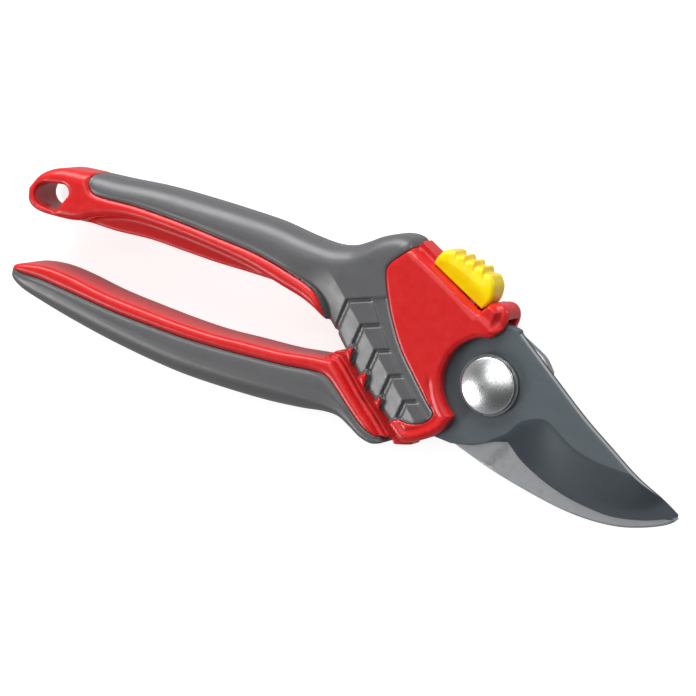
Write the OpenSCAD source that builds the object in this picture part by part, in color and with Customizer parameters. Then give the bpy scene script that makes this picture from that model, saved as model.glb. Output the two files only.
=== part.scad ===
// Bypass pruning shears: two moulded handles on one pivot, with a thumb lock on the head.
// Frame: the origin is on the pivot axis at the back face of the pivot nut, +X runs along the
// shears towards the blade tips, +Y towards the thumb side and +Z along the pivot towards
// the domed head of the bolt. The shears are drawn closed and locked.

/* [Handles and head] */
// Lowest level of the moulded handles
back_z = 0.3; // [0.2:0.1:1]
// Thickness of the moulded handles and of the head
body_t = 17; // [16.5:0.1:17.5]
// Thickness of the soft overmoulding on the faces of the head and the handles
skin_t = 2.3; // [1.8:0.1:2.6]
// Depth of the chevron grooves in the thumb and finger pads
groove_t = 0.9; // [0.4:0.1:1.2]

/* [Blades] */
// Level of the shear plane, where the two blades meet
shear_z = 9.6; // [9.4:0.1:9.8]
// Thickness of the cutting blade
blade_t = 3.2; // [2.8:0.1:3.2]
// Thickness of the counter blade
hook_t = 3.6; // [3:0.1:3.6]
// Gap between the two blades
blade_gap = 0.03; // [0.02:0.01:0.06]
// Slope of the grinding on the front of the cutting blade
grind_angle = 12; // [9:0.5:13]

/* [Pivot] */
// Diameter of the pivot bolt's shank
bolt_d = 8; // [7:0.5:9]
// Radial clearance of the bushing on the shank
bolt_fit = 0.04; // [0.02:0.01:0.08]
// Diameter of the domed bolt head
dome_d = 15.8; // [14:0.1:16.4]
// Height of the domed bolt head
dome_h = 3.1; // [2:0.1:3.6]
// Diameter of the collar under the bolt head
collar_d = 17.4; // [16.6:0.1:18]
// Width of the pivot nut across its flats
nut_w = 13; // [12:0.5:14]

/* [Thumb lock] */
// Travel of the lock slider from locked to free
lock_travel = 4; // [3:0.5:4]
// Direction of the slide, down from the +X axis
lock_angle = 21; // [20:0.5:22]
// Thickness of the lock slider across the head
slider_t = 10; // [9:0.5:10.5]
// Thickness of the guide rail that the slider straddles
rail_t = 6.4; // [5:0.1:6.4]
// Clearance of the slider round its rail
slide_gap = 0.35; // [0.3:0.05:0.4]

/* [Return spring] */
// Diameter of the return spring's wire
wire_d = 1; // [0.8:0.1:1]
// Mean diameter of the return spring's coil
coil_d = 7.4; // [7:0.1:8]
// Number of whole turns in the coil
coil_turns = 2; // [1:1:2]

/* [Hidden] */

RED = [0.85, 0.16, 0.17];
GREY = [0.44, 0.44, 0.45];
YELLOW = [1, 0.84, 0];
COATED = [0.36, 0.4, 0.43];
STEEL = [0.75, 0.76, 0.77];
BRASS = [0.72, 0.58, 0.3];

top_z = back_z + body_t;
mid_z = back_z + body_t / 2;
blade_z = shear_z + blade_gap;
hook_z = shear_z - hook_t;
slot_top = blade_z + blade_t + 0.4;
slot_floor = hook_z;
collar_z = blade_z + blade_t + 0.04;
collar_t = 1.2;
washer_t = 0.8;
nut_h = hook_z - 2 * washer_t;
bushing_wall = 2;
rivet_r = 2;
post_r = 2.4;                   // Post inside the coil of the return spring
post_z = 4;
tang_pin_z = [4, 14];           // Ends of the rivets in the cutting blade's tang
rivet_z = back_z + skin_t;      // Bottom of the counter blade's rivets
web_t = 6.4;                    // Web below the rim of the upper handle
swing_r = 13.5;                 // Edge of the cheeks round the pivot
disc_r = 17.4;                  // Round end of the cutting blade
neck_r = 31;                    // Inner end of the lower handle's moulded neck
u = [cos(lock_angle), -sin(lock_angle)];    // Slide direction, towards the blades
v = [sin(lock_angle), cos(lock_angle)];     // Up from the slide, away from the pivot
tongue_s = -20.6;               // Back of the lock tongue along the slide
rail_v = 15.9;                  // Top of the slider's rail
rail_end = tongue_s - lock_travel - 0.4;    // Front end of the rail along the slide
rail_back = -42;                // Back end of the rail, inside the head
roof_v = rail_v + slide_gap + 0.9;
tongue_w = 2;
tongue_t = 2.4;
tongue_z = blade_z + 0.3;
nose_v = 8;                     // Lower side of the tongue's nose
nose_s = -sqrt(pow(disc_r + 0.35, 2) - pow(nose_v, 2));
window_gap = 0.25;              // Clearance of the tongue in its window
spring_at = [-24, 7];
hook_rivets = [[-33, 9], [-20, 14]];
tang_rivets = [[-56, -19.5], [-70, -23]];

// --- Outlines -----------------------------------------------------------------------------
// Every outline point is [x, y, edge radius]; corners are where two curves meet.

function unit(p) = p / norm(p);
function blend4(a, b, c, d, t) =
    0.5 * (2 * b + (c - a) * t + (2 * a - 5 * b + 4 * c - d) * t * t + (3 * b - a - 3 * c + d) * t * t * t);

// A smooth curve through the points p, n steps to a span, without its last point
function curve(p, n = 2) =
    [for (i = [0:len(p) - 2], k = [0:n - 1])
        blend4(p[max(i - 1, 0)], p[i], p[i + 1], p[min(i + 2, len(p) - 1)], k / n)];

// An arc round c from a0 to a1 degrees, without its last point
function arc(c, r, a0, a1, n, edge = 0) =
    [for (k = [0:n - 1]) let (a = a0 + (a1 - a0) * k / n) [c[0] + r * cos(a), c[1] + r * sin(a), edge]];

function flat(p) = [for (q = p) [q[0], q[1]]];
function on_slide(s, h) = s * u + h * v;

// The outward direction at each vertex of an outline that runs anticlockwise
function outward(p) = let (n = len(p))
    [for (i = [0:n - 1]) let (d = unit([p[(i + 1) % n][0] - p[(i + n - 1) % n][0],
                                        p[(i + 1) % n][1] - p[(i + n - 1) % n][1]])) [d[1], -d[0]]];

// A plate from z0 to z1 whose edges are rounded by each point's own radius
module rounded_plate(p, z0, z1, steps = 3) {
    n = len(p);
    m = outward(p);
    levels = concat([for (k = [0:steps]) [90 * k / steps, 0]], [for (k = [steps:-1:0]) [90 * k / steps, 1]]);
    points = [for (l = levels, i = [0:n - 1])
        let (r = p[i][2], e = r * (1 - sin(l[0])), h = r * (1 - cos(l[0])))
        [p[i][0] - e * m[i][0], p[i][1] - e * m[i][1], l[1] == 0 ? z0 + h : z1 - h]];
    last = len(levels) - 1;
    polyhedron(points, concat(
        [[for (i = [0:n - 1]) i]],
        [for (k = [0:last - 1], i = [0:n - 1]) let (a = k * n, j = (i + 1) % n) [a + i, a + n + i, a + j]],
        [for (k = [0:last - 1], i = [0:n - 1])
            let (a = k * n, j = (i + 1) % n) [a + j, a + n + i, a + n + j]],
        [[for (i = [n - 1:-1:0]) last * n + i]]));
}

// Makes one surface of a moulding and everything cut from it, at its own size
module moulded() {
    resize([0, 0, 0]) children();
}

module slab(p, z0, z1) {
    translate([0, 0, z0]) linear_extrude(z1 - z0) polygon(flat(p));
}

// Upper handle and head together
upper_outline = concat(
    curve([[-152.5, -1.5, 3], [-151.2, -5.2, 3], [-147.5, -6.9, 3], [-141, -6.3, 3], [-134, -4.6, 3.5],
           [-128, -1, 4], [-119, 2.2, 5], [-105, 3.6, 5.5], [-91, 4, 5.5], [-79, 3.7, 5.5],
           [-68, 2.3, 5], [-59, 1, 4], [-51.5, -2, 3], [-43.5, -7.9, 2.2], [-35.5, -14.4, 2.2],
           [-27.5, -19.3, 2.2], [-21.5, -23, 2.2]]),
    curve([[-21.5, -23, 2.2], [-18, -24.6, 2], [-14.6, -23.3, 2], [-10.5, -20.2, 2], [-7.4, -16.5, 1.6]]),
    arc([0, 0], swing_r, 243, 105, 12, 1.4),
    curve([[-3.5, 13, 1.4], [-1.6, 15.8, 1.2], [-1.2, 18.8, 1.2], [-2.2, 21.3, 1.6], [-4.3, 22.4, 2],
           [-6.4, 21.6, 2], [-7.4, 19.2, 1.6], [-9.8, 17.4, 1.4]]),
    [[-9.8, 17.4, 1.2], [-17.7, 20.9, 1.2], [-25.6, 24, 1.2]],
    curve([[-31, 25.9, 1.6], [-33.8, 27.4, 2.5], [-36, 29.4, 4], [-40, 29, 5], [-44.5, 26.5, 5.5],
           [-48.5, 23.2, 5.5], [-52.5, 20.4, 5.5], [-58, 18.4, 5.5], [-66, 17.9, 5.5], [-77, 18, 5.5],
           [-90, 16.9, 5.5], [-102, 15.6, 5.5], [-114, 13.9, 5], [-126, 11.5, 5], [-137, 9.4, 5],
           [-145, 7.4, 4], [-150, 3.6, 3], [-152.5, -1.5, 3]]));

// Where the upper grip covers the moulding; it runs past the outside of the handle
upper_grip_zone = concat(
    curve([[-131, 20], [-134, 11], [-134.6, 7.6], [-132.4, 4.9], [-128, 4.8], [-118, 6.3], [-104, 7.3],
           [-90, 7.7], [-78, 7.9], [-67, 6.8], [-57, 4.4], [-51.5, -2]]),
    [[-56, -12], [-30, -34]],
    curve([[-23.4, -21.4], [-21, -19.2], [-17.5, -18.9], [-13.5, -17], [-11.6, -13.6],
           [-15, -10.6], [-20.4, -6], [-26.5, -0.6], [-31.6, 5.6], [-35.6, 11.8], [-38.6, 18],
           [-38.4, 21], [-36.4, 24], [-34.2, 27]]),
    [[-34.2, 27], [-32.5, 31], [-30, 36], [-100, 40]]);

// The core's tongue inside the grip
upper_tongue = concat(
    curve([[-128, 7.4], [-110, 10.3], [-90, 12.7], [-76, 13.8], [-62, 13.8], [-53, 15.4], [-46, 19.6],
           [-41, 23.6], [-36, 25.6], [-26, 26]]),
    [[-26, 26], [-5, 20], [-5, -36], [-60, -20], [-128, -6]]);

// The thin web below the rim of the upper handle
upper_web = concat(
    [[-70, 4], [-75, 5], [-128, 4.2], [-136, 1]],
    curve([[-134.5, -4.8], [-124, -3.9], [-112, -1.9], [-100, -1], [-90, -0.2], [-80, 1], [-70, 2]]));

// The space between the cheeks, where the blades and the lower handle's neck move
slot_outline = concat(
    [[-56, -60], [30, -60], [30, 40], [-0.2, 40], [-0.2, 18.9]],
    curve([[-8.4, 18.9], [-16, 18], [-26, 18], [-35, 14.5], [-41, 6], [-47, -2.5], [-52.5, -8]]),
    [[-56, -16]]);

// Hanging hole
hang_hole = concat(
    arc([-146, -1.3], 3.6, 105, 270, 7),
    arc([-143, -2.9], 2, 270, 350, 4),
    arc([-141.6, 1.2], 2.4, 0, 105, 5));

// Lower handle
lower_outline = concat(
    curve([[-149.6, -26, 2], [-148.6, -28.6, 2.4], [-144.6, -30.6, 3.2], [-137, -31.9, 4], [-127, -33.2, 5],
           [-114, -34.2, 5.5], [-100, -34.6, 5.5], [-88, -34.2, 5.5], [-75, -32.9, 5.5], [-62, -31.1, 5.5],
           [-51, -28.7, 4.5], [-43.5, -26.5, 3], [-38.7, -26, 2.4], [-34.6, -27.2, 2], [-30.5, -28.7, 1.6],
           [-26.5, -29, 1.2], [-23.4, -27.6, 1]]),
    curve([[-23.4, -27.6, 1], [-28.4, -23.8, 1.4], [-36, -18.6, 1.8], [-42, -13.9, 1.8],
           [-45.4, -11.6, 1.6]]),
    curve([[-45.4, -11.6, 1.6], [-52, -12.9, 3.4], [-61, -15.1, 4.5], [-73, -17.1, 5], [-83, -18.8, 5],
           [-94, -19.9, 5], [-107, -20.6, 5], [-119, -21, 5], [-130, -20.6, 4.4], [-138, -20.9, 3.4],
           [-144.5, -22.3, 2.6], [-148.6, -24.2, 2], [-149.6, -26, 2]]));

lower_grip_zone = concat(
    curve([[-152, -25.6], [-145, -25.6], [-139, -25], [-129, -24.9], [-113, -24.8], [-100, -24],
           [-90, -23.2], [-80, -21.9], [-70, -20.3], [-59, -18.4], [-51, -16.6], [-45.6, -16.2],
           [-41, -18.6],
           [-36, -22], [-30, -25.4], [-25, -26.3], [-22, -25.6]]),
    [[-10, -40], [-100, -60], [-160, -40]]);

lower_tongue = concat(
    [[-142, -15]],
    curve([[-142, -27], [-128, -29], [-114, -30.2], [-100, -30.5], [-88, -30.2], [-75, -29], [-62, -27.2],
           [-50, -24.6], [-42, -22.5], [-36, -23.4], [-29, -25.8], [-24, -26]]),
    [[-20, -26], [-30, -5]]);

// The neck between the cheeks, with a lip that follows the blade's lower edge under the head
neck_outline = concat(
    [[-52, -15]],
    curve([[-46.5, -9.2], [-41, -6.8], [-36, -6.6], [-30.3, -6.6]]),
    arc([0, 0], neck_r, 192, 228, 7),
    curve([[-20, -23.4], [-16.5, -22.7], [-13.2, -21.4], [-11.9, -21.3]]),
    curve([[-11.9, -21.3], [-12.5, -22.5], [-15.6, -24.9], [-18.6, -26.3], [-22, -27.4], [-26, -28],
           [-30, -26.5]]),
    [[-36, -22]]);

// Cutting blade with its round end and its tang
blade_outline = concat(
    curve([[62.4, -12.6], [57, -10.4], [48, -7.5], [38.5, -3.1], [28.5, 1.7], [17.5, 7.9], [7.5, 13.7],
           [2.6, 16.6]], 3),
    arc([0, 0], disc_r, 82, 196, 14),
    curve([[-16.7, -4.8], [-24, -6.6], [-32, -7.6], [-40, -10.4], [-50, -15], [-62, -17.8], [-76, -20.4]]),
    [[-76, -20.4], [-77.5, -23.5], [-76, -26.4], [-60, -24.6], [-46, -21.8], [-36, -21.2], [-24, -21.6],
     [-10.6, -20.2]],
    curve([[-5.2, -20], [1, -18], [6, -14.8], [10.3, -13.1]]),
    curve([[10.3, -13.1], [15.5, -16.9], [22, -19.4], [30, -21], [38, -21.4], [45.5, -20.8], [53, -18.5],
           [58.6, -15.8], [62.6, -13.4]], 3),
    [[62.6, -13.4]]);

// Counter blade: hooked jaw, round middle and shank
hook_outline = concat(
    [[-29, 17.2], [-36, 12.6], [-37.6, 8], [-33, 3.6]],
    curve([[-28, 1], [-20, -4], [-15.5, -10], [-12.5, -15.5], [-7, -20.2]]),
    curve([[-7, -20.2], [1, -21.8], [9, -23.3], [20, -24.5], [31, -25.1], [40, -24.5], [48, -22.8],
           [55, -19.9], [60.5, -16.6], [62.3, -14.2]], 3),
    curve([[62.3, -14.2], [56, -15.8], [48, -17.6], [40, -18.2], [31, -17.3], [24, -14.6], [18.6, -9.6],
           [16.2, -3], [15.9, 4], [14.2, 9.2]], 3),
    curve([[14.2, 9.2], [11, 12.1], [6.6, 13.9], [0.4, 16], [-3.4, 17.2]]),
    [[-3.4, 17.2], [-6.8, 16.6], [-14, 17.6]]);

// Side of the lock slider, with its stepped thumb grip
slider_outline = concat(
    curve([[-27.5, 25.2, 1.2], [-27.5, 27.4, 1.6], [-26.2, 29.8, 1.6], [-23.8, 30.8, 1.2],
           [-21.4, 30.5, 1]]),
    [for (k = [0:3], s = [0, 1, 2]) let (x = -21.4 + 3.1 * k, y = 30.5 - 0.42 * k)
        [[x, y - 0.9, 0.6], [x + 0.5, y + 0.1, 0.6], [x + 2.5, y - 0.5, 0.6]][s]],
    curve([[-9.4, 27.6, 1.2], [-8.4, 25.4, 1.2], [-8.1, 22.8, 1.2], [-8.7, 20.5, 1.2], [-9.9, 18.7, 1]]));

// --- Upper handle -------------------------------------------------------------------------

module upper_whole() {
    rounded_plate(upper_outline, back_z, top_z);
}

// What the overmoulding fills: both faces of the zone, and all of it outside the tongue
module grip_zone(zone, tongue, z0, z1) {
    difference() {
        slab(zone, z0 - 1, z1 + 1);
        slab(tongue, z0 + skin_t, z1 - skin_t);
    }
}

// A plate in the plane of the slide, from s0 to s1 along it and from v0 to v1 above the pivot
module slide_block(s0, s1, v0, v1, z0, z1) {
    translate([0, 0, z0]) linear_extrude(z1 - z0)
        polygon([on_slide(s0, v0), on_slide(s1, v0), on_slide(s1, v1), on_slide(s0, v1)]);
}

// Rail on top of the head that the lock slider straddles
module slider_rail() {
    slide_block(rail_back, rail_end, 11.5, rail_v, mid_z - rail_t / 2, mid_z + rail_t / 2);
}

// Window in the top of the head that the lock tongue passes through
module tongue_window() {
    slide_block(rail_end, tongue_s + tongue_w + slide_gap, nose_v, 22,
                tongue_z - window_gap, tongue_z + tongue_t + window_gap);
}

// Round pins along Z, or the bores for them, one at each of the points
module pins(at, r, z0, z1, sides = 48) {
    for (p = at) translate([p[0], p[1], z0]) cylinder(r = r, h = z1 - z0, $fn = sides);
}

module upper_handle_core() {
    color(RED) moulded() difference() {
        union() {
            difference() {
                union() {
                    upper_whole();
                    slider_rail();
                }
                grip_zone(upper_grip_zone, upper_tongue, back_z, top_z);
            }
            slab(upper_web, mid_z - web_t / 2, mid_z + web_t / 2);
        }
        slab(slot_outline, slot_floor, slot_top);
        slab(hang_hole, -1, top_z + 1);
        tongue_window();
        pins(hook_rivets, rivet_r, rivet_z, slot_floor + 1);
        pins([spring_at], post_r, post_z, slot_floor + 1);
    }
}

// Chevron grooves across one face of the thumb pad
module chevrons(z0, z1) {
    for (k = [0:3]) translate([6.6 * k, -6 * k, z0])
        linear_extrude(z1 - z0)
            polygon([[-49.5, -4.5], [-40.6, 3.3], [-36, 4.8], [-36.3, 3.8], [-40, 2.6], [-48.5, -5]]);
}

module upper_grip() {
    color(GREY) moulded() difference() {
        intersection() {
            upper_whole();
            grip_zone(upper_grip_zone, upper_tongue, back_z, top_z);
        }
        chevrons(top_z - groove_t, top_z + 1);
        chevrons(back_z - 1, back_z + groove_t);
    }
}

module counter_blade() {
    color(STEEL) difference() {
        slab(hook_outline, hook_z, shear_z);
        pins([[0, 0]], bolt_d / 2 + 0.02, 0, 20);
        pins(hook_rivets, rivet_r, 0, 20);
        pins([spring_at], post_r, 0, 20);
    }
}

module counter_blade_rivets() {
    color(STEEL) pins(hook_rivets, rivet_r, rivet_z, shear_z - 0.1);
}

// --- Pivot --------------------------------------------------------------------------------

module pivot_bolt() {
    dome_r = (pow(dome_d / 2, 2) + pow(dome_h, 2)) / (2 * dome_h);
    dome_z = collar_z + collar_t;
    color(STEEL) {
        cylinder(d = bolt_d, h = dome_z + 0.5, $fn = 64);
        intersection() {
            translate([0, 0, dome_z + dome_h - dome_r]) sphere(r = dome_r, $fn = 96);
            translate([0, 0, dome_z]) cylinder(d = dome_d, h = dome_h + 1, $fn = 96);
        }
    }
}

module ring(r_out, r_in, z, h, sides = 96) {
    translate([0, 0, z]) difference() {
        cylinder(r = r_out, h = h, $fn = sides);
        translate([0, 0, -1]) cylinder(r = r_in, h = h + 2, $fn = 64);
    }
}

module pivot_collar() {
    color(STEEL) ring(collar_d / 2, bolt_d / 2, collar_z, collar_t);
}

module wave_washer() {
    color(STEEL) ring(8, bolt_d / 2, hook_z - washer_t, washer_t);
}

// Washer with locking teeth round its rim
module lock_washer() {
    color(STEEL) {
        ring(9, bolt_d / 2, nut_h, washer_t);
        for (a = [0:24:336]) rotate(a) translate([8.8, -0.9, nut_h]) cube([1.3, 1.8, washer_t]);
    }
}

module pivot_nut() {
    color(STEEL) ring(nut_w / 2 / cos(30), bolt_d / 2, 0, nut_h, 6);
}

// --- Return spring ------------------------------------------------------------------------

// A round bar swept along a path that lies nearly flat
module bar(path, r, sides = 8) {
    n = len(path);
    points = [for (i = [0:n - 1]) let (d = unit(path[min(i + 1, n - 1)] - path[max(i - 1, 0)]),
                                       s = unit([d[1], -d[0], 0]), w = cross(s, d))
        for (k = [0:sides - 1]) path[i] + r * cos(360 * k / sides) * s + r * sin(360 * k / sides) * w];
    polyhedron(points, concat(
        [[for (k = [0:sides - 1]) k]],
        [for (i = [0:n - 2], k = [0:sides - 1]) let (a = i * sides + k, b = i * sides + (k + 1) % sides)
            [a, a + sides, b + sides, b]],
        [[for (k = [sides - 1:-1:0]) (n - 1) * sides + k]]));
}

// Torsion coil: one arm lies against the wall of the head, the other on the blade's tang
module return_spring() {
    r = coil_d / 2;
    start = 205;
    sweep = 360 * coil_turns - 25;
    z0 = shear_z + wire_d / 2 + 0.1;
    rise = (wire_d + 0.05) / 360;
    helix = [for (k = [0:36]) let (a = start + sweep * k / 36)
        [spring_at[0] + r * cos(a), spring_at[1] + r * sin(a), z0 + rise * sweep * k / 36]];
    in = [-sin(start), cos(start), 0];
    out = [-sin(start + sweep), cos(start + sweep), 0];
    color(STEEL) bar(concat([helix[0] - 11 * in], helix, [helix[36] + 13.9 * out]), wire_d / 2);
}

module spring_post() {
    color(STEEL) pins([spring_at], post_r, post_z, slot_top - 0.3);
}

// --- Thumb lock ---------------------------------------------------------------------------

module lock_slider() {
    color(YELLOW) moulded() difference() {
        rounded_plate([for (i = [len(slider_outline) - 1:-1:0]) slider_outline[i]],
                      mid_z - slider_t / 2, mid_z + slider_t / 2, 2);
        slide_block(-44, tongue_s + tongue_w, 5, roof_v,
                    mid_z - rail_t / 2 - slide_gap, mid_z + rail_t / 2 + slide_gap);
    }
}

// Steel latch: a post under the slider with a nose that points at the blade's notch
module lock_tongue() {
    color(STEEL) {
        slide_block(tongue_s, tongue_s + tongue_w, nose_v, roof_v, tongue_z, tongue_z + tongue_t);
        slide_block(tongue_s, nose_s, nose_v, nose_v + tongue_w, tongue_z, tongue_z + tongue_t);
    }
}

// Leaf spring under the roof of the slider, with one bump that clicks on the rail
module detent_spring() {
    leaf_v = roof_v - 0.35;
    color(STEEL) translate([0, 0, mid_z - 2]) linear_extrude(4)
        polygon([for (q = [[-33, leaf_v], [-30, leaf_v], [-29, rail_v + 0.05], [-28, leaf_v],
                           [-25, leaf_v], [-25, roof_v], [-33, roof_v]]) on_slide(q[0], q[1])]);
}

// --- Lower handle -------------------------------------------------------------------------

module lower_whole() {
    rounded_plate(lower_outline, back_z, top_z);
}

module lower_handle_core() {
    color(RED) moulded() difference() {
        union() {
            lower_whole();
            slab(neck_outline, slot_floor + 0.4, blade_z + blade_t);
        }
        grip_zone(lower_grip_zone, lower_tongue, back_z, top_z);
        slab(blade_outline, blade_z, blade_z + blade_t);
        pins(tang_rivets, rivet_r, tang_pin_z[0], tang_pin_z[1]);
    }
}

module lower_grip() {
    color(GREY) moulded() intersection() {
        lower_whole();
        grip_zone(lower_grip_zone, lower_tongue, back_z, top_z);
    }
}

module cutting_blade() {
    color(COATED) difference() {
        slab(blade_outline, blade_z, blade_z + blade_t);
        translate([10, -22, blade_z + 0.2]) rotate([grind_angle, 0, 0])
            translate([0, -40, 0]) cube([80, 140, 40]);
        slide_block(-disc_r - 3, nose_s + 2, nose_v - 0.3, nose_v + tongue_w + 0.3, 0, 20);
        pins([[0, 0]], bolt_d / 2 + bushing_wall, 0, 20, 96);
        pins(tang_rivets, rivet_r, 0, 20);
    }
}

module cutting_blade_rivets() {
    color(STEEL) pins(tang_rivets, rivet_r, tang_pin_z[0], tang_pin_z[1]);
}

module blade_bushing() {
    color(BRASS) ring(bolt_d / 2 + bushing_wall, bolt_d / 2 + bolt_fit, blade_z, blade_t);
}

upper_handle_core();
upper_grip();
counter_blade();
counter_blade_rivets();
pivot_bolt();
pivot_collar();
wave_washer();
lock_washer();
pivot_nut();
spring_post();
return_spring();
lock_slider();
lock_tongue();
detent_spring();
lower_handle_core();
lower_grip();
cutting_blade();
cutting_blade_rivets();
blade_bushing();
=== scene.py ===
"""Looks of the bypass pruning shears: moulded handles, coated blade, chrome bolt and thumb lock.

Lengths are millimetres in the frame of the CAD model until a mesh is made, where MM turns them into metres.
A moulding is a field of signed distances (negative inside the solid) on a grid, which is then meshed.
A blade is a plate whose upper face follows a height function.
"""
import math

import bpy
import numpy as np
import openvdb
from mathutils import Matrix, Vector
from mathutils.geometry import delaunay_2d_cdt


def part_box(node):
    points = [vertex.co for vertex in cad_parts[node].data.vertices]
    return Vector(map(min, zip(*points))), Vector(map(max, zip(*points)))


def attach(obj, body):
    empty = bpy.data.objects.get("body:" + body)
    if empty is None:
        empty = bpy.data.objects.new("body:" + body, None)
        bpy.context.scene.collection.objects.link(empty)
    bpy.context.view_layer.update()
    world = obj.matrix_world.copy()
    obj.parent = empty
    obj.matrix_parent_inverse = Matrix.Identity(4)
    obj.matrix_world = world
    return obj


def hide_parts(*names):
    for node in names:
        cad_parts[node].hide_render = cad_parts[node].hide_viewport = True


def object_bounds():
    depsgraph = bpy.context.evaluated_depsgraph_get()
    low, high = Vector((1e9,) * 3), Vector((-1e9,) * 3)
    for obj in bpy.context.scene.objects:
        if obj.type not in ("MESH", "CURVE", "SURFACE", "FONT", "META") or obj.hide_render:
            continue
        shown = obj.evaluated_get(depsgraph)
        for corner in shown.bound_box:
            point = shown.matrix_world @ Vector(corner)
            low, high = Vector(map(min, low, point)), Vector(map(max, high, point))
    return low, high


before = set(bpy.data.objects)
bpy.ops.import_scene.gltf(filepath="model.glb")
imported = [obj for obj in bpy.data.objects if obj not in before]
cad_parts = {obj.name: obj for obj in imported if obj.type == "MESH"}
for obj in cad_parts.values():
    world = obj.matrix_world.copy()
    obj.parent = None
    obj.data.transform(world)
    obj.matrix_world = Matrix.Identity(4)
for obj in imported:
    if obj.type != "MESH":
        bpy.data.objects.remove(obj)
cad_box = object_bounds()

MM = 0.001
HANDLE_STEP = 0.34        # Grid of the handles
SLIDER_STEP = 0.2        # Grid of the thumb lock's slider


def levels(node):
    """The lowest and highest z of a CAD node, in millimetres."""
    low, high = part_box(node)
    return low[2] / MM, high[2] / MM


BACK, FRONT = levels("upper_grip")
MIDDLE = (BACK + FRONT) / 2
HOOK_LOW, HOOK_HIGH = levels("counter_blade")
BLADE_LOW, BLADE_HIGH = levels("cutting_blade")
SLIDER_LOW, SLIDER_HIGH = levels("lock_slider")
COLLAR_HIGH = levels("pivot_collar")[1]
BOLT_LOW, BOLT_HIGH = levels("pivot_bolt")

SLIDE_ANGLE = math.radians(21)              # The lock slides along this line, down from +X
SLOT_CLEARANCE = 0.4                        # Round the blades and the neck inside the head
RAIL_HALF = 3.2                             # Half the thickness of the lock's rail and of the web
RAIL_TOP = 15.9                             # Height of the rail above the pivot, across the slide
RAIL_GAP = 0.35                             # Between the rail and the slider that rides on it
LEDGE_TOP = 13.5                            # Height of the ledge under the slider, above the pivot
LEDGE_HALF = 7.9                            # Half its thickness, which falls away beyond LEDGE_FLAT
LEDGE_FLAT = 4.6
LEDGE_FALL = 0.37
HEEL_FLAT = 5                               # The same for the heel of the horn beside the slider
HEEL_FALL = 0.3
HORN_DROP = 2.4                             # How far the horn's faces lie below those of the head
TAIL_END = -131                             # The hanging hole lies beyond this
HOLE_LEAN = -1.0                            # How far its outer wall leans, from front to back
OUTSIDE = 5.0                               # A distance that stands for far from the hole

SEAM = 0.75                                 # Depth and width of the groove between red and grey
SHOT_GAP = 0.04                             # Between the red and the grey shot
CORE_COVER = 1.6                            # Grey over the red core where it runs on inside a grip
CROWN_RISE = 0.8                            # How far a crowned grip rises, over CROWN_WIDTH
CROWN_WIDTH = 9
BEAD_GROOVE = 0.4                           # Depth of the groove beside the bead on the head's lower edge
BEAD_INSET = 3.3                            # How far inside the outline that groove runs
BEAD_WIDTH = 0.8

SPINE_BARE = 1.9                            # How far down the wall of the blade's spine is bare
TANG_COVER = 1.2                            # Plastic of the neck over the blade's tang
GRIND_SLOPE = math.tan(math.radians(13.5))
GRIND_START = 1.2                           # Length of the rounded start of the bevel
EDGE_LEFT = 0.3                             # Thickness left at the cutting edge
BLADE_BORE = 6.0                            # Radius of the cutting blade's bore
HOOK_BORE = 4.02                            # Radius of the counter blade's bore
FOLD_STEP = 0.22                            # How much thinner the jaw is beyond the fold
BLADE_RIM = 0.2                             # Width of the broken edge on the cutting blade's front
HOOK_RIM = 0.5                              # The same on the counter blade's front
HOOK_BACK_RIM = 0.8                         # And on its back


# --- Curves ------------------------------------------------------------------------------------

def curve(points, steps=6):
    """A Catmull-Rom curve through the points, without its last point."""
    p = np.array(points, float)
    p = np.vstack([p[:1], p, p[-1:]])
    out = []
    for a, b, c, d in zip(p, p[1:], p[2:], p[3:]):
        for t in np.arange(steps) / steps:
            out.append(0.5 * (2 * b + (c - a) * t + (2 * a - 5 * b + 4 * c - d) * t ** 2
                              + (3 * b - a - 3 * c + d) * t ** 3))
    return out


def arc(centre, radius, start, end, steps, *edge):
    """An arc in degrees, without its last point; edge is the edge radius that its points carry."""
    angles = np.radians(start + (end - start) * np.arange(steps) / steps)
    return [np.array([centre[0] + radius * math.cos(a), centre[1] + radius * math.sin(a), *edge])
            for a in angles]


def outline(*runs):
    """One closed outline from runs of points."""
    return np.array([point for run in runs for point in run], float)


def smoothstep(low, high, value):
    """Nought below low and one above high, or the other way round, smooth between."""
    t = np.clip((value - low) / (high - low), 0, 1)
    return t * t * (3 - 2 * t)


# --- Outlines: x, y and, for a moulding, the radius of the edge ------------------------------------

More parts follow.
